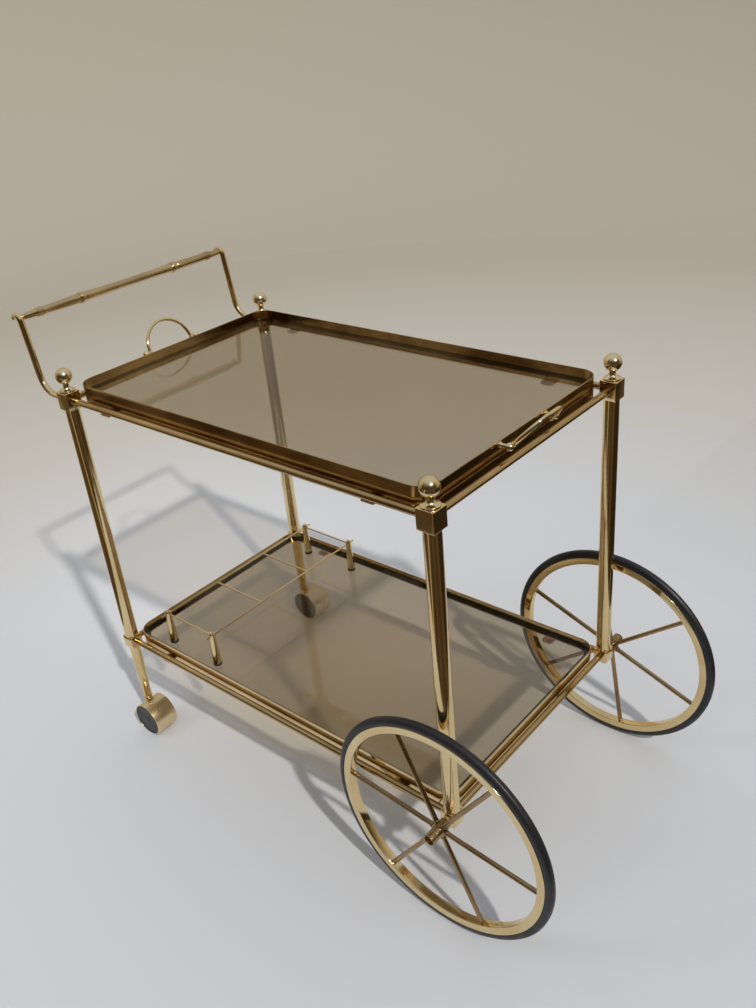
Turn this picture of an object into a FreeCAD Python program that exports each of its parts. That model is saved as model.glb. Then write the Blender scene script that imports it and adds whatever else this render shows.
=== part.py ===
"""Two-tier brass drinks trolley: parametric model, millimetres, +Z up.

+X points from the push-handle end to the big-wheel end, -Y is the right-hand side.
The origin is on the floor under the middle of the overall box.
"""
import FreeCAD, Part
import os
import re
from math import cos, radians, sin

import Sketcher
from FreeCAD import Placement, Rotation, Vector

# ---------------------------------------------------------------- driving dimensions
DIMENSIONS = [
    # corner posts, blocks and the two frames of rails; MidX is the middle of the wheelbase
    ("MidX", -33.9), ("PostX", 340.0), ("PostY", 202.0), ("PostRad", 11.0), ("PostWall", 1.5),
    ("TopBlock", 25.0), ("TopBlockTall", 28.0), ("TopBlockLow", 604.5),
    ("FootBlock", 22.0), ("FootBlockTall", 22.0), ("FootBlockLow", 160.0), ("Bevel", 0.8),
    ("RailRad", 5.0), ("TopRailUp", 618.5), ("LowRailUp", 171.5),
    # finials on the upper blocks
    ("DiscRad", 12.0), ("DiscTall", 3.5), ("BellRad", 8.5), ("BellTall", 4.0),
    ("NeckRad", 4.4), ("BallRad", 12.5), ("BallUp", 23.5),
    # tongues under the two tiers
    ("TongueX", 250.0), ("TongueHalf", 9.5), ("TongueReach", 23.0), ("TongueThick", 2.5),
    ("TongueRound", 5.0), ("WeldHalf", 3.0), ("WeldTall", 4.0),
    # rims and glass of both tiers
    ("TrayX", 657.0), ("TrayY", 386.0), ("TrayTall", 30.0), ("TrayLedge", 9.5),
    ("ShelfX", 668.0), ("ShelfY", 388.0), ("ShelfTall", 24.0), ("ShelfLedge", 8.0),
    ("TierCorner", 27.0), ("BandThick", 1.5), ("LedgeSink", 0.75), ("LedgeWide", 10.0),
    ("LedgeThick", 1.5), ("GlassThick", 5.0), ("GlassGap", 0.5),
    # drop handles of the tray
    ("LugX", 342.0), ("LugY", 51.0), ("LugUp", 25.0), ("LugRad", 5.2), ("LugPost", 2.6),
    ("BailRad", 42.0), ("BailWire", 2.8), ("BailFoot", 3.5), ("BailPin", 1.5),
    ("PinReach", 11.5), ("BoreRad", 1.55), ("BoreReach", 12.0),
    ("LeanWheel", 42.0), ("LeanHandle", 24.0),
    # push handle: two bent arms and a turned bar
    ("ArmRun", 26.0), ("ArmBend", 30.0), ("ArmTurn", 81.6), ("ArmRise", 85.0),
    ("CurlBend", 9.0), ("CurlTurn", 130.0), ("BarTurn", 35.0), ("TenonRad", 3.0),
    ("TenonEnd", 199.0), ("TipEnd", 196.5), ("TipRad", 4.0), ("ConeEnd", 171.0),
    ("ConeRad", 6.3), ("RingRad", 7.2), ("RingHalf", 0.8), ("RingPitch", 4.0),
    ("CollarAt", 92.0), ("CollarHalf", 2.5), ("CollarRad", 9.0), ("ShoulderRad", 7.8),
    ("ShoulderLong", 8.0), ("OuterRad", 7.0), ("WaistRad", 6.6),
    # tapered feet with the caster stems
    ("ToeTop", 9.5), ("ToeLow", 7.2), ("ToeEnd", 48.0), ("ToeRing", 8.2), ("ToeRingTall", 2.5),
    ("StemRad", 3.2), ("StemEnd", 24.0),
    # casters, trailing towards the big wheels
    ("Trail", 33.5), ("SideStep", 11.5), ("RollerRad", 28.0), ("RollerIn", 2.0),
    ("RollerWide", 18.4), ("RollerRound", 2.0), ("HoodRad", 30.2), ("HoodIn", 28.8),
    ("HoodHalf", 21.0), ("HoodCut", 5.0), ("WebHalf", 1.5), ("BossRad", 6.5),
    ("BossLow", 20.0), ("BossTop", 45.0), ("BridgeHalf", 6.0), ("SwivelBore", 3.25),
    ("SwivelFloor", 23.9), ("PinRad", 3.0), ("PinBore", 3.05), ("PinHalf", 20.2),
    # big wheels
    ("WheelRad", 169.0), ("WheelOut", 229.0), ("RimIn", 147.5), ("RimFloor", 149.5),
    ("RimOut", 158.5), ("RimHalf", 6.5), ("RootHalf", 4.9), ("CrownRad", 6.0),
    ("SpokeRad", 3.4), ("SpokeCount", 6.0), ("PhaseRight", 54.1), ("PhaseLeft", 38.3),
    ("SpiderRad", 10.5), ("SpiderHalf", 4.5), ("HubRad", 8.0), ("HubStart", 216.5),
    ("HubEnd", 252.5), ("RecessRad", 6.6), ("RecessDeep", 8.0), ("AxleRad", 5.0),
    ("AxleBore", 5.05), ("AxleNose", 7.2), ("NoseEnd", 216.0), ("HeadRad", 6.2),
    ("HeadStart", 245.0), ("HeadTall", 3.0),
    # bottle rack
    ("RackX", -205.0), ("RackY", -7.0), ("RackHalfX", 55.0), ("RackHalfY", 165.0),
    ("RackBay", 55.0), ("RackPostTop", 4.8), ("RackPostLow", 6.8), ("RackPostTall", 54.0),
    ("RodRad", 1.5), ("RodUp", 57.0), ("RodOver", 13.0), ("PadRad", 7.4), ("PadTall", 5.0),
]

doc = FreeCAD.newDocument("drinks_trolley")
sheet = doc.addObject("Spreadsheet::Sheet", "Dim")
for row, (alias, value) in enumerate(DIMENSIONS, start=1):
    sheet.set("A%d" % row, alias)
    sheet.set("B%d" % row, str(value))
    sheet.setAlias("B%d" % row, alias)
doc.recompute()

DIM = {alias: float(sheet.get(alias)) for alias, value in DIMENSIONS}
ALIAS = re.compile(r"\b([A-Z][A-Za-z]+)\b")

# turns that carry a primitive's own +Z onto the named direction
UP = Rotation()
ALONG_Y = Rotation(Vector(1, 0, 0), -90)
ALONG_X = Rotation(Vector(0, 1, 0), 90)
ALONG_BACK = Rotation(Vector(0, 1, 0), -90)

SIDES = (("right", -1), ("left", 1))
ENDS = (("wheel", 1), ("handle", -1))

nodes = []


# ---------------------------------------------------------------- helpers
def in_sheet(text):
    """Put the sheet's name in front of every alias in an expression."""
    return ALIAS.sub(r"Dim.\1", text)


def bind(thing, sizes):
    for name, text in sizes.items():
        thing.setExpression(name, in_sheet(text))


def place(thing, where, turn=UP):
    """Numbers go straight into the placement, texts become expressions."""
    numbers = [0.0 if isinstance(value, str) else value for value in where]
    thing.Placement = Placement(Vector(*numbers), turn)
    for axis, value in zip("xyz", where):
        if isinstance(value, str):
            thing.setExpression("Placement.Base." + axis, in_sheet(value))
    return thing


def primitive(kind, name, sizes, where, turn=UP):
    thing = doc.addObject("Part::" + kind, name)
    bind(thing, sizes)
    return place(thing, where, turn)


def rod(name, radius, length, where, turn=UP):
    return primitive("Cylinder", name, {"Radius": radius, "Height": length}, where, turn)


def cone(name, first, second, length, where, turn=UP):
    sizes = {"Radius1": first, "Radius2": second, "Height": length}
    return primitive("Cone", name, sizes, where, turn)


def ball(name, radius, where):
    return primitive("Sphere", name, {"Radius": radius}, where)


def box(name, sizes, where):
    return primitive("Box", name, dict(zip(("Length", "Width", "Height"), sizes)), where)


def bend(name, middle, wire, angle, where, radial, forward):
    """A round bar bent about a centre, from the radial direction towards forward."""
    turn = Rotation(radial, forward, radial.cross(forward), "XYZ")
    sizes = {"Radius1": middle, "Radius2": wire, "Angle3": angle}
    return primitive("Torus", name, sizes, where, turn)


def fuse(name, pieces):
    thing = doc.addObject("Part::MultiFuse", name)
    thing.Shapes = pieces
    thing.Refine = True
    return thing


def cut(name, base, tool):
    thing = doc.addObject("Part::Cut", name)
    thing.Base = base
    thing.Tool = tool
    return thing


def dress(kind, name, base, edges, amount):
    """Chamfer or round some edges of a piece, all by the same amount."""
    doc.recompute()
    thing = doc.addObject("Part::" + kind, name)
    thing.Base = base
    thing.Edges = [(edge, DIM[amount], DIM[amount]) for edge in edges]
    return thing


def node(thing, label):
    """Mark an object of the document as one finished sub-part."""
    thing.Label = label
    nodes.append(thing)
    return thing


def signed(sign, text):
    """The text of a length on the named side of the middle plane."""
    return text if sign > 0 else "-(%s)" % text


def from_middle(sign, text):
    """The text of an X position at a distance from the middle of the wheelbase."""
    return "MidX + " + text if sign > 0 else "MidX - (%s)" % text


def rounded_loop(sketch, tier, inset):
    """A rounded rectangle about the sketch's origin, the tier's outline moved inwards."""
    amount = sum(DIM[alias] for alias in inset)
    text = " + ".join(inset) or "0"
    half_x = DIM[tier + "X"] / 2 - amount
    half_y = DIM[tier + "Y"] / 2 - amount
    radius = DIM["TierCorner"] - amount
    in_x, in_y = half_x - radius, half_y - radius
    first = sketch.GeometryCount
    runs = [((-in_x, half_y), (in_x, half_y)), ((half_x, in_y), (half_x, -in_y)),
            ((in_x, -half_y), (-in_x, -half_y)), ((-half_x, -in_y), (-half_x, in_y))]
    for start, end in runs:
        sketch.addGeometry(Part.LineSegment(Vector(*start, 0), Vector(*end, 0)), False)
    for x, y, start in ((in_x, in_y, 0), (in_x, -in_y, -90), (-in_x, -in_y, 180), (-in_x, in_y, 90)):
        circle = Part.Circle(Vector(x, y, 0), Vector(0, 0, 1), radius)
        sketch.addGeometry(Part.ArcOfCircle(circle, radians(start), radians(start + 90)), False)
    rule = Sketcher.Constraint
    top, right, low, left, arc_a, arc_b, arc_c, arc_d = range(first, first + 8)
    joins = [(top, 2, arc_a, 2), (right, 1, arc_a, 1), (right, 2, arc_b, 2), (low, 1, arc_b, 1),
             (low, 2, arc_c, 2), (left, 1, arc_c, 1), (left, 2, arc_d, 2), (top, 1, arc_d, 1)]
    for pair in joins:
        sketch.addConstraint(rule("Tangent", *pair))
    for line in (top, low):
        sketch.addConstraint(rule("Horizontal", line))
    for line in (right, left):
        sketch.addConstraint(rule("Vertical", line))
    for one, other in ((arc_a, arc_b), (arc_b, arc_c), (arc_c, arc_d)):
        sketch.addConstraint(rule("Equal", one, other))
    sketch.addConstraint(rule("Symmetric", arc_a, 3, arc_c, 3, -1, 1))
    sizes = [(rule("DistanceX", left, 1, right, 1, 2 * half_x), tier + "X - 2 * (%s)"),
             (rule("DistanceY", low, 1, top, 1, 2 * half_y), tier + "Y - 2 * (%s)"),
             (rule("Radius", arc_a, radius), "TierCorner - (%s)")]
    for constraint, rule_text in sizes:
        index = sketch.addConstraint(constraint)
        sketch.setExpression("Constraints[%d]" % index, in_sheet(rule_text % text))


def pad_loops(body, tier, part, insets, low, height):
    """Pad the area between rounded loops, from a height above the body's own origin."""
    sketch = body.newObject("Sketcher::SketchObject", tier + part + "Sketch")
    floor = [plane for plane in body.Origin.OriginFeatures if plane.Role == "XY_Plane"][0]
    sketch.AttachmentSupport = [(floor, "")]
    sketch.MapMode = "FlatFace"
    sketch.setExpression("AttachmentOffset.Base.z", in_sheet(low))
    for inset in insets:
        rounded_loop(sketch, tier, inset)
    pad = body.newObject("PartDesign::Pad", tier + part)
    pad.Profile = sketch
    pad.setExpression("Length", in_sheet(height))
    sketch.Visibility = False
    return pad


# ---------------------------------------------------------------- posts, blocks, finials
def corner(end, along, side, across):
    """One post with its two blocks and its finial."""
    name = "_%s_%s" % (end, side)
    x, y = from_middle(along, "PostX"), signed(across, "PostY")
    low, tall = "FootBlockLow + FootBlockTall", "TopBlockLow - FootBlockLow - FootBlockTall"
    tube = rod("PostSkin" + name, "PostRad", tall, (x, y, low))
    core = rod("PostCore" + name, "PostRad - PostWall", tall, (x, y, low))
    node(cut("Post" + name, tube, core), "post" + name)

    for label, wide, height, level in (("upper", "TopBlock", "TopBlockTall", "TopBlockLow"),
                                       ("lower", "FootBlock", "FootBlockTall", "FootBlockLow")):
        raw = box(label + "BlockRaw" + name, (wide, wide, height),
                  (x + " - %s / 2" % wide, y + " - %s / 2" % wide, level))
        block = dress("Chamfer", label + "Block" + name, raw, range(1, 13), "Bevel")
        node(block, label + "_block" + name)

    top = "TopBlockLow + TopBlockTall"
    pieces = [rod("Disc" + name, "DiscRad", "DiscTall", (x, y, top)),
              cone("Bell" + name, "BellRad", "NeckRad", "BellTall", (x, y, top + " + DiscTall")),
              rod("Neck" + name, "NeckRad", "BallUp - DiscTall", (x, y, top + " + DiscTall")),
              ball("Ball" + name, "BallRad", (x, y, top + " + BallUp"))]
    node(fuse("Finial" + name, pieces), "finial" + name)


# ---------------------------------------------------------------- rails and tongues
def tongue(name, along, across, level):
    """A flat tongue with a rounded tip, its weld reaching into the rail above it."""
    x, inward = from_middle(along, "TongueX"), -across
    low = level + " - RailRad - TongueThick"
    back = signed(across, "PostY + WeldHalf")

    def plate(tag, half, reach, tall):
        start = back if inward > 0 else "PostY + WeldHalf - (%s)" % reach
        return box(tag + name, ("2 * (%s)" % half, reach, tall), (x + " - (%s)" % half, start, low))

    pieces = [plate("TongueLong", "TongueHalf - TongueRound", "TongueReach + WeldHalf",
                    "TongueThick"),
              plate("TongueWide", "TongueHalf", "TongueReach + WeldHalf - TongueRound",
                    "TongueThick"),
              plate("TongueWeld", "TongueHalf", "2 * WeldHalf", "WeldTall")]
    for tag, shift in (("One", " + TongueHalf - TongueRound"), ("Two", " - TongueHalf + TongueRound")):
        pieces.append(rod("TongueRound" + tag + name, "TongueRound", "TongueThick",
                          (x + shift, signed(across, "PostY - TongueReach + TongueRound"), low)))
    return pieces


def rail_frame(tier, level, block):
    """Four rails between the blocks of one level, tongues welded under the long ones."""
    for side, across in SIDES:
        name = "_%s_%s" % (tier, side)
        bar = rod("LongBar" + name, "RailRad", "2 * PostX - %s" % block,
                  (from_middle(-1, "PostX - %s / 2" % block), signed(across, "PostY"), level), ALONG_X)
        pieces = [bar]
        for end, along in ENDS:
            pieces += tongue(name + "_" + end, along, across, level)
        node(fuse("LongRail" + name, pieces), "long_rail" + name)
    for end, along in ENDS:
        name = "_%s_%s" % (tier, end)
        rail = rod("CrossRail" + name, "RailRad", "2 * PostY - %s" % block,
                   (from_middle(along, "PostX"), "-PostY + %s / 2" % block, level), ALONG_Y)
        node(rail, "cross_rail" + name)


# ---------------------------------------------------------------- tiers
def tier_band(tier, level):
    """An upright band with a ledge inside it for the glass."""
    body = doc.addObject("PartDesign::Body", tier + "Band")
    pad_loops(body, tier, "Wall", [(), ("BandThick",)], "0", tier + "Tall")
    pad_loops(body, tier, "Rest", [("LedgeSink",), ("BandThick", "LedgeWide")],
              tier + "Ledge", "LedgeThick")
    return place(body, ("MidX", 0.0, level + " - RailRad"))


def tier_glass(tier, level):
    body = doc.addObject("PartDesign::Body", tier + "Glass")
    pad_loops(body, tier, "Sheet", [("BandThick", "GlassGap")], "0", "GlassThick")
    place(body, ("MidX", 0.0, "%s - RailRad + %sLedge + LedgeThick" % (level, tier)))
    node(body, tier.lower() + "_glass")


def tray_band():
    """The tray's band with four drilled ball lugs on its ends."""
    pieces, bores = [tier_band("Tray", "TopRailUp")], []
    level = "TopRailUp - RailRad + LugUp"
    for end, along in ENDS:
        for side, across in SIDES:
            name = "_%s_%s" % (end, side)
            y = signed(across, "LugY")
            turn = ALONG_X if along > 0 else ALONG_BACK
            pieces.append(rod("LugPost" + name, "LugPost", "LugX - TrayX / 2 + LedgeSink",
                              (from_middle(along, "TrayX / 2 - LedgeSink"), y, level), turn))
            pieces.append(ball("LugBall" + name, "LugRad", (from_middle(along, "LugX"), y, level)))
        bores.append(rod("LugBore_" + end, "BoreRad", "2 * (BailRad + BoreReach)",
                         (from_middle(along, "LugX"), "-(BailRad + BoreReach)", level), ALONG_Y))
    solid = fuse("TrayBandSolid", pieces)
    node(cut("TrayBandDrilled", solid, fuse("TrayBores", bores)), "tray_band")


def bail(end, along, lean):
    """A half round of wire on two knuckles, its pins turned outwards into the lugs."""
    level = "TopRailUp - RailRad + LugUp"
    x = from_middle(along, "LugX")
    tilt = radians(DIM[lean])
    upward = Vector(along * sin(tilt), 0, cos(tilt))
    pieces = [bend("BailBow_" + end, "BailRad", "BailWire", "180", (x, 0.0, level),
                   Vector(0, 1, 0), upward)]
    for side, across in SIDES:
        name = "_%s_%s" % (end, side)
        pieces.append(ball("BailKnuckle" + name, "BailFoot", (x, signed(across, "BailRad"), level)))
        start = "BailRad" if across > 0 else "-(BailRad + PinReach)"
        pieces.append(rod("BailPin" + name, "BailPin", "PinReach", (x, start, level), ALONG_Y))
    node(fuse("Bail_" + end, pieces), "bail_%s_end" % end)


# ---------------------------------------------------------------- push handle
def arm_points():
    """Centres and ends of the arm's bends, in X and Z from the middle of the wheelbase."""
    turn, curl = radians(DIM["ArmTurn"]), DIM["CurlBend"]
    start_x = -DIM["PostX"] - DIM["TopBlock"] / 2 - DIM["ArmRun"]
    first = Vector(start_x, 0, DIM["TopRailUp"] + DIM["ArmBend"])
    foot = first - Vector(sin(turn), 0, cos(turn)) * DIM["ArmBend"]
    way = Vector(-cos(turn), 0, sin(turn))
    head = foot + way * DIM["ArmRise"]
    second = head - Vector(sin(turn), 0, cos(turn)) * curl
    return first, foot, way, second


def on_curl(angle):
    """A point of the curl's middle line, after so many degrees of turning."""
    second = arm_points()[3]
    lean = radians(90 - DIM["ArmTurn"] + angle)
    return second + Vector(cos(lean), 0, sin(lean)) * DIM["CurlBend"]


def handle_arm(side, across):
    """A bar that leaves the upper block, rises and curls over to a domed end."""
    y = signed(across, "PostY")
    first, foot, way, second = arm_points()
    tip = on_curl(DIM["CurlTurn"])
    outward = (foot - first).normalize()

    def at(point):
        return ("MidX + (%.6f)" % point.x, y, point.z)

    name = "_" + side
    pieces = [rod("ArmRun" + name, "RailRad", "ArmRun",
                  (from_middle(-1, "PostX + TopBlock / 2"), y, "TopRailUp"), ALONG_BACK),
              bend("ArmBend" + name, "ArmBend", "RailRad", "ArmTurn", at(first),
                   Vector(0, 0, -1), Vector(-1, 0, 0)),
              rod("ArmRise" + name, "RailRad", "ArmRise", at(foot), Rotation(Vector(0, 0, 1), way)),
              bend("ArmCurl" + name, "CurlBend", "RailRad", "CurlTurn", at(second),
                   -outward, way),
              primitive("Sphere", "ArmTip" + name, {"Radius": "RailRad"}, at(tip), ALONG_X)]
    solid = fuse("ArmSolid" + name, pieces)
    seat = on_curl(DIM["BarTurn"])
    hole = rod("ArmHole" + name, "TenonRad", "TenonEnd - TipEnd",
               ("MidX + (%.6f)" % seat.x, "TipEnd" if across > 0 else "-TenonEnd", seat.z), ALONG_Y)
    node(cut("Arm" + name, solid, hole), "handle_arm" + name)


def handle_bar():
    """The turned grip: cones to the arms, fine rings, two collars and a waisted middle."""
    seat = on_curl(DIM["BarTurn"])
    x = "MidX + (%.6f)" % seat.x
    pieces = [rod("BarWaist", "WaistRad", "2 * (CollarAt - ShoulderLong)",
                  (x, "-(CollarAt - ShoulderLong)", seat.z), ALONG_Y)]

    def span(tag, across, first, second, start, end):
        """A cone between two distances from the middle, on one side."""
        low, high = (first, second) if across > 0 else (second, first)
        where = start if across > 0 else "-(%s)" % end
        if low == high:
            return rod(tag, low, "%s - (%s)" % (end, start), (x, where, seat.z), ALONG_Y)
        return cone(tag, low, high, "%s - (%s)" % (end, start), (x, where, seat.z), ALONG_Y)

    for side, across in SIDES:
        name = "_" + side
        near, far = "CollarAt - CollarHalf", "CollarAt + CollarHalf"
        pieces += [
            span("BarSwell" + name, across, "WaistRad", "ShoulderRad",
                 "CollarAt - ShoulderLong", near),
            span("BarCollar" + name, across, "CollarRad", "CollarRad", near, far),
            span("BarShoulder" + name, across, "ShoulderRad", "OuterRad", far,
                 "CollarAt + ShoulderLong"),
            span("BarOuter" + name, across, "OuterRad", "ConeRad", "CollarAt + ShoulderLong",
                 "ConeEnd"),
            span("BarCone" + name, across, "ConeRad", "TipRad", "ConeEnd", "TipEnd"),
            span("BarTenon" + name, across, "TenonRad", "TenonRad", "TipEnd", "TenonEnd"),
        ]
        for count in range(3):
            middle = "ConeEnd - %d * RingPitch" % count
            pieces.append(span("BarRing%d%s" % (count, name), across, "RingRad", "RingRad",
                               middle + " - RingHalf", middle + " + RingHalf"))
    node(fuse("Bar", pieces), "handle_bar")


# ---------------------------------------------------------------- feet and casters
def foot(side, across):
    """A tapered foot with a ring at its end and the caster's stem below it."""
    name = "_" + side
    x, y = from_middle(-1, "PostX"), signed(across, "PostY")
    pieces = [cone("ToeCone" + name, "ToeLow", "ToeTop", "FootBlockLow - ToeEnd", (x, y, "ToeEnd")),
              rod("ToeRing" + name, "ToeRing", "ToeRingTall", (x, y, "ToeEnd - ToeRingTall")),
              rod("ToeStem" + name, "StemRad", "ToeEnd - StemEnd", (x, y, "StemEnd"))]
    node(fuse("Foot" + name, pieces), "foot" + name)


def caster(side, across):
    """A drum hood on a boss, a web in its middle, a pin and one roller on each side."""
    name = "_" + side
    stem_x, stem_y = from_middle(-1, "PostX"), signed(across, "PostY")
    x, y, z = "MidX - PostX + Trail", stem_y + " - SideStep", "RollerRad"
    skin = [rod("HoodDrum" + name, "HoodRad", "2 * HoodHalf", (x, y + " - HoodHalf", z), ALONG_Y),
            rod("HoodBoss" + name, "BossRad", "BossTop - BossLow", (stem_x, stem_y, "BossLow")),
            box("HoodBridge" + name, ("Trail - WebHalf", "2 * BridgeHalf", "BossTop - BossLow"),
                (stem_x, stem_y + " - BridgeHalf", "BossLow"))]
    rooms = [rod("HoodRoomRight" + name, "HoodIn", "HoodHalf",
                 (x, y + " - WebHalf - HoodHalf", z), ALONG_Y),
             rod("HoodRoomLeft" + name, "HoodIn", "HoodHalf", (x, y + " + WebHalf", z), ALONG_Y),
             box("HoodMouth" + name, ("2 * HoodRad", "4 * HoodHalf", "HoodRad"),
                 (x + " - HoodRad", y + " - 2 * HoodHalf", "HoodCut - HoodRad")),
             rod("HoodSwivel" + name, "SwivelBore", "BossTop", (stem_x, stem_y, "SwivelFloor")),
             rod("HoodPinHole" + name, "PinRad", "2 * PinHalf", (x, y + " - PinHalf", z), ALONG_Y)]
    hood = cut("Hood" + name, fuse("HoodSkin" + name, skin), fuse("HoodRooms" + name, rooms))
    node(hood, "caster_hood" + name)
    pin = rod("Pin" + name, "PinRad", "2 * PinHalf", (x, y + " - PinHalf", z), ALONG_Y)
    node(pin, "caster_pin" + name)
    for tag, start in (("outer" if across < 0 else "inner", " - RollerIn - RollerWide"),
                       ("inner" if across < 0 else "outer", " + RollerIn")):
        full = name + "_" + tag
        raw = rod("RollerRaw" + full, "RollerRad", "RollerWide", (x, y + start, z), ALONG_Y)
        tread = dress("Fillet", "RollerTread" + full, raw, (1, 3), "RollerRound")
        bore = rod("RollerBore" + full, "PinBore", "RollerWide", (x, y + start, z), ALONG_Y)
        node(cut("Roller" + full, tread, bore), "roller" + full)


# ---------------------------------------------------------------- big wheels
def across_rod(name, across, radius, start, end):
    """A round piece about the big wheels' axis, between two distances from the middle."""
    where = start if across > 0 else "-(%s)" % end
    return rod(name, radius, "%s - (%s)" % (end, start), ("MidX + PostX", where, "WheelRad"), ALONG_Y)


def wheel_ring(name, across, outer, inner, half):
    """A flat ring in the wheel's middle plane."""
    low, high = "WheelOut - " + half, "WheelOut + " + half
    return cut(name, across_rod(name + "Skin", across, outer, low, high),
               across_rod(name + "Core", across, inner, low, high))


def big_wheel(side, across, phase):
    name = "_" + side
    crown = primitive("Torus", "TyreCrown" + name,
                      {"Radius1": "WheelRad - CrownRad", "Radius2": "CrownRad"},
                      ("MidX + PostX", signed(across, "WheelOut"), "WheelRad"), ALONG_Y)
    tyre = [crown, wheel_ring("TyreWall" + name, across, "WheelRad - CrownRad", "RimOut", "CrownRad"),
            wheel_ring("TyreRoot" + name, across, "WheelRad - CrownRad", "RimFloor", "RootHalf")]
    node(fuse("Tyre" + name, tyre), "wheel_tyre" + name)

    channel = wheel_ring("RimSkin" + name, across, "RimOut", "RimIn", "RimHalf")
    groove = wheel_ring("RimGroove" + name, across, "WheelRad", "RimFloor", "RootHalf")
    node(cut("Rim" + name, channel, groove), "wheel_rim" + name)

    middle = "WheelOut"
    star = [across_rod("Spider" + name, across, "SpiderRad", middle + " - SpiderHalf",
                       middle + " + SpiderHalf"),
            across_rod("Barrel" + name, across, "HubRad", "HubStart", "HubEnd")]
    for count in range(int(DIM["SpokeCount"])):
        angle = radians(DIM[phase] + 360 / DIM["SpokeCount"] * count)
        way = Rotation(Vector(0, 0, 1), Vector(cos(angle), 0, sin(angle)))
        star.append(rod("Spoke%d%s" % (count, name), "SpokeRad", "RimOut",
                        ("MidX + PostX", signed(across, middle), "WheelRad"), way))
    limit = across_rod("StarLimit" + name, across, "RimIn", "HubStart", "HubEnd")
    trimmed = doc.addObject("Part::Common", "StarTrimmed" + name)
    trimmed.Base = fuse("StarSolid" + name, star)
    trimmed.Tool = limit
    rooms = [across_rod("HubBore" + name, across, "AxleBore", "HubStart", "HubEnd"),
             across_rod("HubRecess" + name, across, "RecessRad", "HubEnd - RecessDeep", "HubEnd")]
    star_node = cut("Star" + name, trimmed, fuse("HubRooms" + name, rooms))
    node(star_node, "wheel_star" + name)

    face = "PostY + FootBlock / 2"
    axle = [across_rod("AxleBar" + name, across, "AxleRad", face, "HeadStart"),
            across_rod("AxleNose" + name, across, "AxleNose", face, "NoseEnd"),
            across_rod("AxleHead" + name, across, "HeadRad", "HeadStart", "HeadStart + HeadTall")]
    node(fuse("Axle" + name, axle), "wheel_axle" + name)


# ---------------------------------------------------------------- bottle rack
def rack():
    """Four tapered posts on pads, tied by rods that make three square bays."""
    base = "LowRailUp - RailRad + ShelfLedge + LedgeThick + GlassThick"
    level = base + " + RodUp"
    middle = "MidX + RackX"
    rods = []
    for end, along in ENDS:
        x = middle + (" + RackHalfX" if along > 0 else " - RackHalfX")
        rods.append(rod("RackLong_" + end, "RodRad", "2 * (RackHalfY + RodOver)",
                        (x, "RackY - RackHalfY - RodOver", level), ALONG_Y))
    for count, offset in enumerate(("-RackHalfY", "-RackBay", "RackBay", "RackHalfY")):
        rods.append(rod("RackCross%d" % count, "RodRad", "2 * RackHalfX",
                        (middle + " - RackHalfX", "RackY + " + offset, level), ALONG_X))
    grid = node(fuse("RackGrid", rods), "rack_rods")
    for end, along in ENDS:
        for side, across in SIDES:
            name = "_%s_%s" % (end, side)
            x = middle + (" + RackHalfX" if along > 0 else " - RackHalfX")
            y = "RackY" + (" + RackHalfY" if across > 0 else " - RackHalfY")
            pad = rod("RackPad" + name, "PadRad", "PadTall", (x, y, base))
            node(pad, "rack_pad" + name)
            stand = [cone("RackCone" + name, "RackPostLow", "RackPostTop", "RackPostTall",
                          (x, y, base + " + PadTall")),
                     ball("RackDome" + name, "RackPostTop", (x, y, base + " + PadTall + RackPostTall"))]
            node(cut("RackPost" + name, fuse("RackStand" + name, stand), grid), "rack_post" + name)


# ---------------------------------------------------------------- assembly
for end_name, end_sign in ENDS:
    for side_name, side_sign in SIDES:
        corner(end_name, end_sign, side_name, side_sign)
rail_frame("upper", "TopRailUp", "TopBlock")
rail_frame("lower", "LowRailUp", "FootBlock")
tray_band()
tier_glass("Tray", "TopRailUp")
bail("wheel", 1, "LeanWheel")
bail("handle", -1, "LeanHandle")
node(tier_band("Shelf", "LowRailUp"), "shelf_band")
tier_glass("Shelf", "LowRailUp")
for side_name, side_sign in SIDES:
    handle_arm(side_name, side_sign)
    foot(side_name, side_sign)
    caster(side_name, side_sign)
handle_bar()
big_wheel("right", -1, "PhaseRight")
big_wheel("left", 1, "PhaseLeft")
rack()
doc.recompute()

# ---------------------------------------------------------------- checks and export
failed = [thing.Name for thing in doc.Objects if {"Invalid", "Error"} & set(thing.State)]
if failed:
    raise RuntimeError("objects failed: " + ", ".join(failed))
whole = FreeCAD.BoundBox()
for thing in nodes:
    if thing.Shape.isNull() or not thing.Shape.isValid() or len(thing.Shape.Solids) != 1:
        raise RuntimeError("bad shape: " + thing.Label)
    whole.add(thing.Shape.BoundBox)
os.makedirs("parts", exist_ok=True)
for thing in nodes:
    thing.Shape.exportStep("parts/%s.step" % thing.Label)
print(len(nodes), "nodes, box", whole)
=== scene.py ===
"""Brass drinks trolley: detailed pieces, materials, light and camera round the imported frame.

Lengths below are millimetres unless a name says otherwise; MM turns them into Blender's metres.
"""

import math

import bmesh
import bpy
from mathutils import Matrix, Vector


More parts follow.
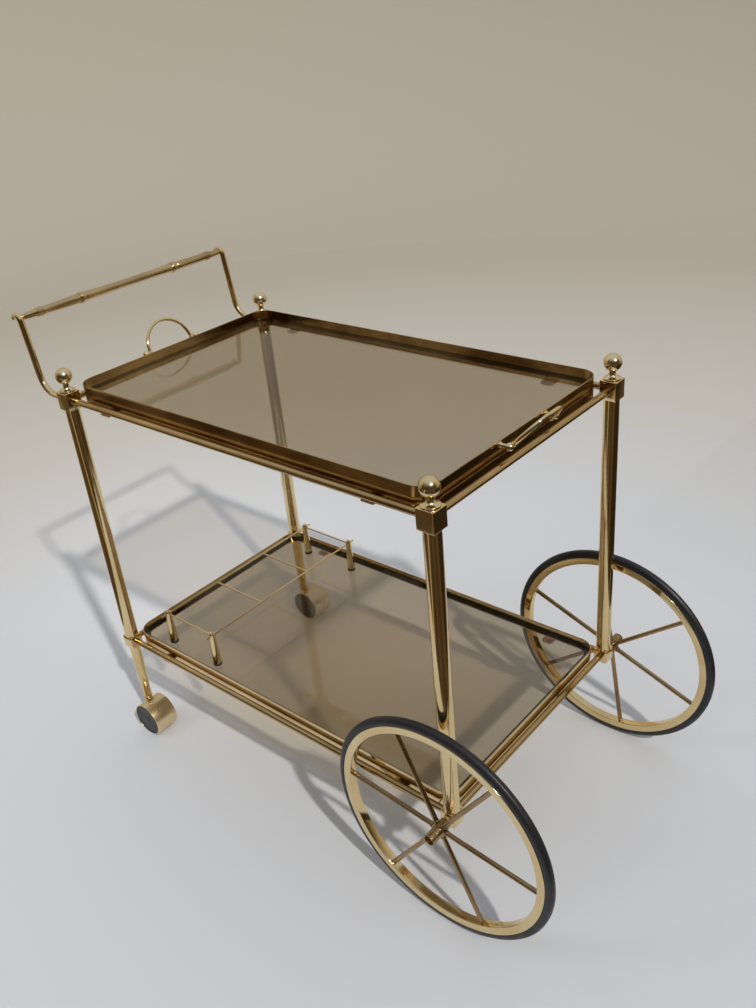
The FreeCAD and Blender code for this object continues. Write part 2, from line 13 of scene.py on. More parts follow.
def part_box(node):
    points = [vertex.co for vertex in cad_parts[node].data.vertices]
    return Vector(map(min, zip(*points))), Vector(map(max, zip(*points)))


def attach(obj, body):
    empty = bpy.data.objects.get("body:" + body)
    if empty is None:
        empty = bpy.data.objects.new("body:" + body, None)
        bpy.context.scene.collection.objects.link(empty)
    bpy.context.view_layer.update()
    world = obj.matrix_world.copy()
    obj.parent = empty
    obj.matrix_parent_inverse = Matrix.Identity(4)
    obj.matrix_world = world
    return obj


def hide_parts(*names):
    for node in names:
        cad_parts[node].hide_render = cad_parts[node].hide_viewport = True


MM = 0.001
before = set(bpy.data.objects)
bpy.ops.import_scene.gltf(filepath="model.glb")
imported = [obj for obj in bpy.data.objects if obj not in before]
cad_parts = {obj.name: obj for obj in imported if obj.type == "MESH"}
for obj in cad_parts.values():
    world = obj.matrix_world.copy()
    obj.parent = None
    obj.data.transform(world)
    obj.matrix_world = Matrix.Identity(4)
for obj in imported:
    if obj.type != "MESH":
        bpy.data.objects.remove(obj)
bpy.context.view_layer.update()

SIDES = {"right": -1, "left": 1}  # sign along Y
ENDS = {"wheel": 1, "handle": -1}  # sign along X
X, Y, Z = Vector((1, 0, 0)), Vector((0, 1, 0)), Vector((0, 0, 1))


# ---------------------------------------------------------------- measuring the frame
class Span:
    """A CAD node's box in millimetres: lowest, highest, middle and size."""

    def __init__(self, node):
        low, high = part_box(node)
        self.low, self.high = low / MM, high / MM
        self.middle = (self.low + self.high) / 2
        self.size = self.high - self.low


# ---------------------------------------------------------------- mesh helpers
def soften(corners, steps=4):
    """Round the corners of a polyline; each corner is (u, v) or (u, v, radius)."""
    smooth = []
    last = len(corners) - 1
    for index, corner in enumerate(corners):
        here = Vector(corner[:2])
        radius = corner[2] if len(corner) > 2 else 0
        if radius <= 0 or index in (0, last):
            smooth.append(tuple(here))
            continue
        back = Vector(corners[index - 1][:2]) - here
        ahead = Vector(corners[index + 1][:2]) - here
        half = back.angle(ahead) / 2
        reach = min(radius / math.tan(half), 0.48 * back.length, 0.48 * ahead.length)
        radius = reach * math.tan(half)
        inward = (back.normalized() + ahead.normalized()).normalized()
        centre = here + inward * math.hypot(reach, radius)
        start = here + back.normalized() * reach - centre
        turn = start.angle_signed(here + ahead.normalized() * reach - centre)
        for step in range(steps + 1):
            spin = Matrix.Rotation(-turn * step / steps, 2)
            smooth.append(tuple(centre + spin @ start))
    return smooth


def closed_soften(corners, steps=4):
    """The same for a closed outline."""
    middle = ((corners[0][0] + corners[-1][0]) / 2, (corners[0][1] + corners[-1][1]) / 2)
    return soften([middle] + list(corners) + [middle], steps)[:-1]


def arc(centre, radius, start, end, steps):
    """Points of an arc in a plane, angles in degrees."""
    points = []
    for step in range(steps + 1):
        angle = math.radians(start + (end - start) * step / steps)
        points.append((centre[0] + radius * math.cos(angle), centre[1] + radius * math.sin(angle)))
    return points


def across(axis):
    """Two directions that make a right-handed frame with the axis."""
    first = (Z if abs(axis.z) < 0.9 else X).cross(axis).normalized()
    return first, axis.cross(first)


def add_piece(name, body, slot, material, bm, sharp=35, replaces=()):
    """Turn a bmesh in millimetres into a shown piece that rides on a body."""
    bmesh.ops.remove_doubles(bm, verts=bm.verts, dist=1e-5)
    bmesh.ops.recalc_face_normals(bm, faces=bm.faces)
    bmesh.ops.scale(bm, vec=(MM, MM, MM), verts=bm.verts)
    mesh = bpy.data.meshes.new(name)
    bm.to_mesh(mesh)
    bm.free()
    mesh.shade_smooth()
    mesh.set_sharp_from_angle(angle=math.radians(sharp))
    mesh.materials.append(material)
    piece = bpy.data.objects.new(name, mesh)
    bpy.context.scene.collection.objects.link(piece)
    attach(piece, body)
    if replaces:
        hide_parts(*replaces)
    return piece


def turn_profile(bm, profile, centre, axis, steps=64, closed=False):
    """Revolve (distance along the axis, radius) points about an axis through a centre."""
    axis = axis.normalized()
    first, second = across(axis)
    rings = []
    for along, radius in profile:
        base = centre + axis * along
        if radius < 1e-6:
            rings.append([bm.verts.new(base)])
            continue
        ring = []
        for step in range(steps):
            angle = 2 * math.pi * step / steps
            way = first * math.cos(angle) + second * math.sin(angle)
            ring.append(bm.verts.new(base + way * radius))
        rings.append(ring)
    pairs = list(zip(rings, rings[1:]))
    if closed:
        pairs.append((rings[-1], rings[0]))
    else:
        for ring in (rings[0], rings[-1]):
            if len(ring) > 1:
                bm.faces.new(ring)
    for low, high in pairs:
        for step in range(steps):
            after = (step + 1) % steps
            corners = [low[step % len(low)], low[after % len(low)],
                       high[after % len(high)], high[step % len(high)]]
            unique = list(dict.fromkeys(corners))
            if len(unique) > 2:
                bm.faces.new(unique)


def lathe(name, body, slot, material, profile, centre, axis, steps=64, closed=False, **more):
    """A piece turned from one profile."""
    bm = bmesh.new()
    turn_profile(bm, profile, Vector(centre), axis, steps, closed)
    return add_piece(name, body, slot, material, bm, **more)


def sweep_round(bm, path, radius, steps=20, domes=(False, False)):
    """A round bar along a path of points, its ends flat or domed."""
    path = [Vector(point) for point in path]
    ways = []
    for index in range(len(path)):
        before = path[max(index - 1, 0)]
        after = path[min(index + 1, len(path) - 1)]
        ways.append((after - before).normalized())
    side = across(ways[0])[0]
    rings = []
    stations = [(point, way, radius) for point, way in zip(path, ways)]
    dome_steps = 6
    caps = []
    for end, sign in ((0, -1), (-1, 1)):
        cap = []
        if domes[end]:
            for step in range(1, dome_steps):
                angle = math.pi / 2 * step / dome_steps
                point = path[end] + ways[end] * sign * radius * math.sin(angle)
                cap.append((point, ways[end], radius * math.cos(angle)))
        caps.append(cap)
    stations = caps[0][::-1] + stations + caps[1]
    for point, way, size in stations:
        side = (side - way * side.dot(way)).normalized()
        other = way.cross(side)
        ring = []
        for step in range(steps):
            angle = 2 * math.pi * step / steps
            ring.append(bm.verts.new(point + (side * math.cos(angle) + other * math.sin(angle)) * size))
        rings.append(ring)
    for low, high in zip(rings, rings[1:]):
        for step in range(steps):
            after = (step + 1) % steps
            bm.faces.new((low[step], low[after], high[after], high[step]))
    bm.faces.new(rings[0])
    bm.faces.new(rings[-1])


def rounded_rectangle(half_x, half_y, corner, steps=12):
    """Corner arcs of a rounded rectangle about the origin, anticlockwise from +X."""
    points = []
    for turn, (sign_x, sign_y) in enumerate(((1, 1), (-1, 1), (-1, -1), (1, -1))):
        centre = (sign_x * (half_x - corner), sign_y * (half_y - corner))
        points += arc(centre, corner, 90 * turn, 90 * turn + 90, steps)
    return points


def extrude_outline(bm, outline, low, high, frame_of, bevel=0.0, segments=3):
    """A plate between two levels; frame_of maps (u, v, level) to a point."""
    floor = [bm.verts.new(frame_of(u, v, low)) for u, v in outline]
    roof = [bm.verts.new(frame_of(u, v, high)) for u, v in outline]
    faces = [bm.faces.new(floor), bm.faces.new(roof)]
    for index in range(len(outline)):
        after = (index + 1) % len(outline)
        faces.append(bm.faces.new((floor[index], floor[after], roof[after], roof[index])))
    if bevel:
        edges = [edge for face in faces[:2] for edge in face.edges]
        bmesh.ops.bevel(bm, geom=edges, offset=bevel, segments=segments, profile=0.5, affect="EDGES")


def soft_box(name, body, slot, material, low, high, bevel=1.0, **more):
    """A block with rounded edges."""
    bm = bmesh.new()
    bmesh.ops.create_cube(bm, size=1.0)
    size, middle = high - low, (high + low) / 2
    bmesh.ops.scale(bm, vec=size, verts=bm.verts)
    bmesh.ops.translate(bm, vec=middle, verts=bm.verts)
    bmesh.ops.bevel(bm, geom=list(bm.edges), offset=bevel, segments=4, profile=0.5, affect="EDGES")
    return add_piece(name, body, slot, material, bm, sharp=80, **more)


def plan(u, v, level):
    """An outline drawn from above."""
    return Vector((u, v, level))


# ---------------------------------------------------------------- materials
def new_material(name):
    """A material with its node tree and its Principled shader."""
    material = bpy.data.materials.new(name)
    material.use_nodes = True
    tree = material.node_tree
    shader = tree.nodes["Principled BSDF"]
    return material, tree, shader


def node(tree, kind, **inputs):
    """A shader node with some input values set by name."""
    made = tree.nodes.new(kind)
    for key, value in inputs.items():
        made.inputs[key.replace("_", " ")].default_value = value
    return made


def noise(tree, scale, detail, stretch=(1, 1, 1)):
    """Noise in the object's own space, its axes scaled by stretch."""
    place = node(tree, "ShaderNodeTexCoord")
    mapping = node(tree, "ShaderNodeMapping", Scale=stretch)
    texture = node(tree, "ShaderNodeTexNoise", Scale=scale, Detail=detail, Roughness=0.55)
    tree.links.new(place.outputs["Object"], mapping.inputs["Vector"])
    tree.links.new(mapping.outputs["Vector"], texture.inputs["Vector"])
    return texture.outputs["Fac"]


def ramp(tree, source, stops):
    """A colour ramp; stops are (place, colour)."""
    made = tree.nodes.new("ShaderNodeValToRGB")
    elements = made.color_ramp.elements
    while len(elements) < len(stops):
        elements.new(0.5)
    for element, (place, colour) in zip(elements, stops):
        element.position = place
        element.color = (*colour, 1)
    tree.links.new(source, made.inputs["Fac"])
    return made.outputs["Color"]


def spread(tree, source, low, high):
    """Noise turned into a number between two values."""
    made = node(tree, "ShaderNodeMapRange", From_Min=0.3, From_Max=0.7, To_Min=low, To_Max=high)
    tree.links.new(source, made.inputs["Value"])
    return made.outputs["Result"]


def bump(tree, source, shader, strength, distance):
    """Tilt a shader's normal by a height."""
    made = node(tree, "ShaderNodeBump", Strength=strength, Distance=distance)
    tree.links.new(source, made.inputs["Height"])
    tree.links.new(made.outputs["Normal"], shader.inputs["Normal"])


def brass(name, dark, light, rough, grain=None, drift=(9.0, (1, 1, 1))):
    """Brass whose colour drifts between two tones, with smeared gloss and a fine or turned grain."""
    material, tree, shader = new_material(name)
    shader.inputs["Metallic"].default_value = 1.0
    clouds = noise(tree, drift[0], 6.0, drift[1])
    colour = ramp(tree, clouds, [(0.34, dark), (0.60, light)])
    tree.links.new(colour, shader.inputs["Base Color"])
    smears = noise(tree, 38.0, 5.0, (1, 1, 0.5))
    tree.links.new(spread(tree, smears, *rough), shader.inputs["Roughness"])
    if grain:
        bump(tree, noise(tree, 60.0, 3.0, grain), shader, 0.02, 0.0002)
    else:
        bump(tree, noise(tree, 260.0, 3.0), shader, 0.02, 0.0002)
    return material


POLISHED = brass("polished_brass", (0.76, 0.56, 0.27), (0.85, 0.68, 0.38), (0.05, 0.14))
BUFFED = brass("buffed_brass", (0.78, 0.61, 0.33), (0.86, 0.71, 0.43), (0.14, 0.24))
SATIN = brass("satin_brass", (0.72, 0.53, 0.26), (0.80, 0.62, 0.35), (0.22, 0.34))
SPUN = brass("spun_brass", (0.74, 0.60, 0.35), (0.86, 0.74, 0.50), (0.24, 0.36), grain=(0.4, 30, 0.4))
TURNED = brass("turned_brass", (0.46, 0.32, 0.14), (0.62, 0.46, 0.24), (0.14, 0.22),
               grain=(0.4, 30, 0.4))
MELLOW = brass("mellow_brass", (0.60, 0.43, 0.20), (0.82, 0.66, 0.39), (0.06, 0.14),
               drift=(13.0, (0.5, 0.5, 3.0)))
# tray band brass: its dark tone is partly the band's aged colour and partly painted shade, a darker copy
# of the shelf band's brass
AGED_AND_SHADED = brass("aged_brass", (0.26, 0.155, 0.062), (0.66, 0.47, 0.22), (0.08, 0.20),
             drift=(13.0, (0.6, 0.6, 2.5)))
RUBBED = brass("rubbed_brass", (0.42, 0.28, 0.12), (0.60, 0.43, 0.21), (0.07, 0.16))
DARKENED = brass("darkened_brass", (0.24, 0.15, 0.068), (0.42, 0.30, 0.155), (0.18, 0.30))


def smoked_glass():
    """Bronze float glass that lets lamps through, tinted, so that it casts a light shadow."""
    material, tree, shader = new_material("smoked_glass")
    shader.inputs["Base Color"].default_value = (0.47, 0.395, 0.285, 1)
    shader.inputs["Transmission Weight"].default_value = 1.0
    shader.inputs["Roughness"].default_value = 0.0
    shader.inputs["IOR"].default_value = 1.5
    clear = node(tree, "ShaderNodeBsdfTransparent", Color=(0.74, 0.69, 0.60, 1))
    rays = tree.nodes.new("ShaderNodeLightPath")
    mix = tree.nodes.new("ShaderNodeMixShader")
    tree.links.new(rays.outputs["Is Shadow Ray"], mix.inputs["Fac"])
    tree.links.new(shader.outputs["BSDF"], mix.inputs[1])
    tree.links.new(clear.outputs["BSDF"], mix.inputs[2])
    tree.links.new(mix.outputs["Shader"], tree.nodes["Material Output"].inputs["Surface"])
    return material


def dull(name, dark, light, rough, grain_scale, grain_depth):
    """Rubber or moulded plastic: mottled colour, uneven sheen and a fine skin."""
    material, tree, shader = new_material(name)
    colour = ramp(tree, noise(tree, 22.0, 6.0), [(0.35, dark), (0.65, light)])
    tree.links.new(colour, shader.inputs["Base Color"])
    tree.links.new(spread(tree, noise(tree, 55.0, 4.0), *rough), shader.inputs["Roughness"])
    bump(tree, noise(tree, grain_scale, 3.0), shader, 0.25, grain_depth)
    return material


GLASS = smoked_glass()
TYRE = dull("tyre_rubber", (0.008, 0.008, 0.010), (0.018, 0.018, 0.021), (0.34, 0.50), 700, 0.0002)
NYLON = dull("roller_nylon", (0.012, 0.012, 0.014), (0.024, 0.023, 0.025), (0.34, 0.48), 500, 0.0002)
RUBBER = dull("pad_rubber", (0.010, 0.010, 0.010), (0.022, 0.021, 0.020), (0.5, 0.7), 900, 0.0003)


# ---------------------------------------------------------------- posts, blocks, finials
def ball_profile(level, radius, start, end=90, steps=20):
    """(distance, radius) points of a ball about a level, by latitude in degrees."""
    return [(level + radius * math.sin(math.radians(start + (end - start) * k / steps)),
             max(radius * math.cos(math.radians(start + (end - start) * k / steps)), 0.0))
            for k in range(steps + 1)]


def build_corner(end, side):
    """A tube leg, its two square blocks and the ball finial."""
    name = "_%s_%s" % (end, side)
    tube = Span("post" + name)
    radius, tall = tube.size.x / 2, tube.size.z
    foot = Vector((tube.middle.x, tube.middle.y, tube.low.z))
    lathe("tube" + name, "frame", "brass", POLISHED, [(0, radius), (tall, radius)], foot, Z,
          steps=72, replaces=("post" + name,))
    for level in ("upper", "lower"):
        block = Span("%s_block%s" % (level, name))
        soft_box("%s_corner%s" % (level, name), "frame", "brass", POLISHED, block.low, block.high,
                 bevel=1.1, replaces=("%s_block%s" % (level, name),))
    cap = Span("finial" + name)
    ball = cap.size.x / 2
    centre = cap.size.z - ball
    neck, throat = 4.4, 4.5
    stem = [(0, 11.4), (0, 12.0, 0.5), (2.3, 12.0, 0.9), (2.9, 10.0, 0.6), (3.5, 8.4), (4.6, 6.6),
            (6.2, 5.3), (8.4, 4.6), (10.4, neck)]
    start = -math.degrees(math.acos(throat / ball))
    profile = soften(stem) + ball_profile(centre, ball, start)
    lathe("ball_top" + name, "frame", "brass", BUFFED, profile,
          (cap.middle.x, cap.middle.y, cap.low.z), Z, steps=64, replaces=("finial" + name,))


# ---------------------------------------------------------------- rails and tongues
def build_rails():
    """Round rails between the blocks, the long ones with tongues under them."""
    for tier in ("upper", "lower"):
        cross = Span("cross_rail_%s_wheel" % tier)
        radius, level = cross.size.z / 2, cross.middle.z
        for end in ENDS:
            rail = Span("cross_rail_%s_%s" % (tier, end))
            start = Vector((rail.middle.x, rail.low.y, level))
            lathe("cross_bar_%s_%s" % (tier, end), "frame", "brass", RUBBED,
                  [(0, radius), (rail.size.y, radius)], start, Y, steps=40,
                  replaces=("cross_rail_%s_%s" % (tier, end),))
        for side, sign in SIDES.items():
            node_name = "long_rail_%s_%s" % (tier, side)
            rail = Span(node_name)
            post = Span("post_wheel_" + side)
            start = Vector((rail.low.x, post.middle.y, level))
            lathe("long_bar_%s_%s" % (tier, side), "frame", "brass", RUBBED,
                  [(0, radius), (rail.size.x, radius)], start, X, steps=40, replaces=(node_name,))
            build_tongues(tier, side, sign, rail, start.y, level - radius)


def build_tongues(tier, side, sign, rail, line, top):
    """Two flat tongues with rounded tips under a long rail."""
    half, thick, tip_radius, spacing, root = 9.5, 2.5, 5.0, 250.0, 3.0
    tip = rail.low.y if sign > 0 else rail.high.y
    for end, along in ENDS.items():
        x = rail.middle.x + along * spacing
        outline = closed_soften([(x - half, line + sign * root), (x + half, line + sign * root),
                                 (x + half, tip, tip_radius), (x - half, tip, tip_radius)], 8)
        bm = bmesh.new()
        extrude_outline(bm, outline, top - thick, top, plan, bevel=0.5)
        add_piece("tongue_%s_%s_%s" % (tier, side, end), "frame", "brass", SATIN, bm)


# ---------------------------------------------------------------- tiers
def sweep_section(bm, section, outline_of, centre):
    """Carry a closed section (outward offset, level) round a rounded rectangle."""
    loops = []
    for offset, level in section:
        loops.append([bm.verts.new(Vector((centre.x + u, centre.y + v, level)))
                      for u, v in outline_of(offset)])
    for index, loop in enumerate(loops):
        other = loops[(index + 1) % len(loops)]
        for step in range(len(loop)):
            after = (step + 1) % len(loop)
            bm.faces.new((loop[step], loop[after], other[after], other[step]))


CORNER = 27.0
BAND_THICK, LEDGE_WIDE, LEDGE_THICK, GLASS_GAP = 1.5, 10.0, 1.5, 0.5
SHELF_TALL, TRAY_TALL = 24.0, 30.0
TRAY_MIDDLE = Span("tray_glass").middle.x
TRAY_END = Span("tray_glass").size.x / 2 + BAND_THICK + GLASS_GAP


def build_tier(name, body, tall, finish):
    """Band with eased edges and inner ledge, glass with ground edges."""
    pane = Span(name + "_glass")
    low, ledge = Span(name + "_band").low.z, pane.low.z
    edge = BAND_THICK + GLASS_GAP

    def outline_of(offset):
        half_x, half_y = pane.size.x / 2 + edge + offset, pane.size.y / 2 + edge + offset
        return rounded_rectangle(half_x, half_y, CORNER + offset)

    inner = -BAND_THICK
    section = closed_soften([
        (0, low, 0.4), (0, low + tall, 0.6), (inner, low + tall, 0.6), (inner, ledge, 0.3),
        (inner - LEDGE_WIDE, ledge, 0.5), (inner - LEDGE_WIDE, ledge - LEDGE_THICK, 0.5),
        (inner, ledge - LEDGE_THICK, 0.5), (inner, low, 0.4)], 3)
    bm = bmesh.new()
    sweep_section(bm, section, outline_of, pane.middle)
    add_piece(name + "_rim", body, "aged_brass", finish, bm, sharp=40,
              replaces=(name + "_band",))
    bm = bmesh.new()
    outline = [(pane.middle.x + u, pane.middle.y + v) for u, v in outline_of(-edge)]
    extrude_outline(bm, outline, pane.low.z, pane.high.z, plan, bevel=0.7, segments=2)
    add_piece(name + "_pane", body, "smoked_glass", GLASS, bm, sharp=25,
              replaces=(name + "_glass",))


LUG_BALL, LUG_POST, LUG_Y, LUG_REACH, LUG_UP = 5.2, 2.6, 51.0, 13.5, 25.0


def build_lugs():
    """Four ball lugs on the ends of the tray."""
    level = Span("tray_band").low.z + LUG_UP
    for end, along in ENDS.items():
        face = TRAY_MIDDLE + along * TRAY_END
        for side, sign in SIDES.items():
            start = -math.degrees(math.acos(LUG_POST / LUG_BALL))
            profile = soften([(-1.0, 4.2), (0.8, 4.2, 0.5), (1.4, 3.0, 0.4), (2.4, LUG_POST)])
            profile += ball_profile(LUG_REACH, LUG_BALL, start)
            lathe("lug_%s_%s" % (end, side), "tray", "brass", BUFFED, profile,
                  (face, sign * LUG_Y, level), X * along, steps=40)


BAIL_RADIUS, BAIL_WIRE, BAIL_KNUCKLE, BAIL_PIN, PIN_REACH = 42.0, 2.8, 3.5, 1.5, 8.0
BAIL_LEANS = {"wheel": 42.0, "handle": 24.0}


def build_bail(end):
    """A half round of wire whose turned-out feet sit in the ball lugs."""
    along, tilt = ENDS[end], math.radians(BAIL_LEANS[end])
    level = Span("tray_band").low.z + LUG_UP
    axis = Vector((TRAY_MIDDLE + along * (TRAY_END + LUG_REACH), 0, level))
    upward = Vector((along * math.sin(tilt), 0, math.cos(tilt)))
    bm = bmesh.new()
    path = [axis + Y * u + upward * v for u, v in arc((0, 0), BAIL_RADIUS, 0, 180, 48)]
    sweep_round(bm, path, BAIL_WIRE, steps=24)
    for sign in SIDES.values():
        foot = axis + Y * sign * BAIL_RADIUS
        turn_profile(bm, ball_profile(0, BAIL_KNUCKLE, -90), foot, Y, 32)
        turn_profile(bm, [(0, BAIL_PIN), (PIN_REACH, BAIL_PIN)], foot, Y * sign, 24)
    add_piece("bail_%s" % end, "bail_" + end, "brass", POLISHED, bm,
              replaces=("bail_%s_end" % end,))


# ---------------------------------------------------------------- push handle
ARM_RADIUS, ARM_RUN, ARM_BEND, ARM_TURN, ARM_RISE = 5.0, 26.0, 30.0, 81.6, 85.0
CURL_BEND, CURL_TURN = 9.0, 130.0


def arm_path(side):
    """The arm's middle line from the block to its curled tip."""
    block = Span("upper_block_handle_" + side)
    level = Span("cross_rail_upper_handle").middle.z
    start = Vector((block.low.x, block.middle.y, level))
    points = [start, start - X * ARM_RUN * 0.5]
    centre = (start.x - ARM_RUN, level + ARM_BEND)
    points += [Vector((u, start.y, v)) for u, v in arc(centre, ARM_BEND, 270, 270 - ARM_TURN, 20)]
    turn = math.radians(ARM_TURN)
    way = Vector((-math.cos(turn), 0, math.sin(turn)))
    outward = Vector((-math.sin(turn), 0, -math.cos(turn)))
    head = points[-1] + way * ARM_RISE
    points.append((points[-1] + head) / 2)
    curl = head + outward * CURL_BEND
    first = 90 - ARM_TURN
    points += [Vector((u, start.y, v))
               for u, v in arc((curl.x, curl.z), CURL_BEND, first, first + CURL_TURN, 18)]
    return points


def build_handle():
    """Two curled arms and a bar turned to the same profile on both sides of its middle."""
    for side in SIDES:
        bm = bmesh.new()
        sweep_round(bm, arm_path(side), ARM_RADIUS, steps=32, domes=(False, True))
        add_piece("arm_" + side, "frame", "brass", POLISHED, bm,
                  replaces=("handle_arm_" + side,))
    bar = Span("handle_bar")
    half = [(0, 6.4), (45, 6.7), (74, 7.5), (84.5, 8.1, 1.0), (85.5, 7.4, 0.4), (87.0, 7.4, 0.4),
            (87.6, 8.5, 0.5), (89.2, 8.5, 0.5), (89.5, 9.0, 0.8), (94.5, 9.0, 0.8),
            (94.8, 8.5, 0.5), (96.4, 8.5, 0.5), (97.0, 7.4, 0.4), (98.5, 7.4, 0.4),
            (99.5, 8.0, 1.0), (110, 7.3), (132, 6.9), (161.5, 6.5, 0.4), (162.2, 7.2, 0.5),
            (163.8, 7.2, 0.5), (164.4, 6.4, 0.3), (165.8, 6.4, 0.3), (166.2, 7.2, 0.5),
            (167.8, 7.2, 0.5), (168.4, 6.4, 0.3), (169.8, 6.4, 0.3), (170.2, 7.2, 0.5),
            (171.8, 7.2, 0.5), (172.4, 6.2, 0.4), (184, 5.4), (195.6, 4.2, 0.4), (196.6, 3.6),
            (198.0, 3.0)]
    right_side = soften(half, 3)
    profile = [(-along, radius) for along, radius in right_side[:0:-1]] + right_side
    middle = Vector((bar.middle.x, 0, bar.middle.z))
    lathe("push_bar", "frame", "satin_brass", TURNED, profile, middle, Y, steps=56,
          sharp=40, replaces=("handle_bar",))


# ---------------------------------------------------------------- feet and casters
def build_foot(side):
    """A tapered leg end with a ring, and the caster's stem below it."""
    foot = Span("foot_" + side)
    centre = Vector((foot.middle.x, foot.middle.y, 0))
    profile = soften([(24.0, 3.2), (45.4, 3.2, 0.3), (45.5, 7.6, 0.5), (46.0, 8.2, 0.8),
                      (48.0, 8.2, 0.8), (48.4, 7.2, 0.3), (50.2, 7.2), (foot.high.z, 9.5)], 3)
    lathe("leg_taper_" + side, "frame", "brass", POLISHED, profile, centre, Z, steps=56,
          replaces=("foot_" + side,))


HOOD_RADIUS, HOOD_INSIDE, HOOD_HALF, HOOD_CUT, HOOD_LIP = 30.2, 28.8, 21.0, 5.0, 0.5
WEB_HALF, WEB_BORE, BRIDGE_HALF, BRIDGE_ARC = 1.5, 3.2, 6.0, 29.7
CASTER_PIN, CASTER_PIN_HALF = 3.0, 20.2


def build_caster(side):
    """Drum hood with a web, boss and bridge; a pin and two black rollers."""
    body = "caster_" + side
    pin = Span("caster_pin_" + side)
    stem = Span("foot_" + side)
    centre = pin.middle
    shell = closed_soften([
        (-HOOD_HALF, HOOD_INSIDE, HOOD_LIP), (-HOOD_HALF, HOOD_RADIUS, HOOD_LIP),
        (HOOD_HALF, HOOD_RADIUS, HOOD_LIP), (HOOD_HALF, HOOD_INSIDE, HOOD_LIP),
        (WEB_HALF, HOOD_INSIDE, 0.8), (WEB_HALF, WEB_BORE), (-WEB_HALF, WEB_BORE),
        (-WEB_HALF, HOOD_INSIDE, 0.8)], 3)
    bm = bmesh.new()
    turn_profile(bm, shell, centre, Y, 96, closed=True)
    everything = list(bm.verts) + list(bm.edges) + list(bm.faces)
    parted = bmesh.ops.bisect_plane(bm, geom=everything, plane_co=(0, 0, HOOD_CUT),
                                    plane_no=(0, 0, -1), clear_outer=True)
    rim = [item for item in parted["geom_cut"] if isinstance(item, bmesh.types.BMEdge)]
    bmesh.ops.triangle_fill(bm, use_beauty=True, edges=rim)
    add_piece("hood_" + side, body, "satin_brass", SPUN, bm, sharp=40,
              replaces=("caster_hood_" + side,))

    boss = soften([(20.0, 0.0), (20.0, 6.5, 2.5), (42.6, 6.5, 0.4), (42.8, 7.2, 0.5),
                   (45.0, 7.2, 0.9), (45.0, 3.4)], 4)
    lathe("boss_" + side, body, "satin_brass", SATIN, boss,
          (stem.middle.x, stem.middle.y, 0), Z, steps=48)
    drum = [(centre.x + u, centre.z + v) for u, v in arc((0, 0), BRIDGE_ARC, 195, 148, 10)]
    outline = [(stem.middle.x, drum[-1][1]), (stem.middle.x, drum[0][1])] + drum

    def upright(u, v, level):
        return Vector((u, level, v))

    bm = bmesh.new()
    extrude_outline(bm, outline, stem.middle.y - BRIDGE_HALF, stem.middle.y + BRIDGE_HALF,
                    upright, bevel=1.6, segments=4)
    add_piece("bridge_" + side, body, "satin_brass", SATIN, bm, sharp=50)

    half = CASTER_PIN_HALF
    lathe("pin_" + side, body, "satin_brass", SATIN,
          soften([(-half, 0), (-half, CASTER_PIN, 0.5), (half, CASTER_PIN, 0.5), (half, 0)]),
          centre, Y, steps=32, replaces=("caster_pin_" + side,))
    for place in ("outer", "inner"):
        node_name = "roller_%s_%s" % (side, place)
        roller = Span(node_name)
        outward = 1 if roller.middle.y > centre.y else -1
        half = roller.size.y / 2
        tread = roller.size.z / 2
        profile = soften([
            (half - 0.1, 0), (half - 0.1, 3.2), (-half, 3.2), (-half, tread, 2.0), (0, tread),
            (half, tread, 2.0), (half, 25.2, 0.5), (half - 0.5, 24.8, 0.3),
            (half - 0.5, 7.4, 0.3), (half, 7.0, 0.4), (half, 0)], 4)
        lathe("tread_%s_%s" % (side, place), node_name, "roller", NYLON, profile,
              roller.middle, Y * outward, steps=72, replaces=(node_name,))


# ---------------------------------------------------------------- big wheels
SPOKES, SPOKE_RADIUS, SPOKE_START, SPOKE_END = 6, 3.4, 6.5, 147.45
WHEEL_PHASES = {"right": 54.1, "left": 38.3}


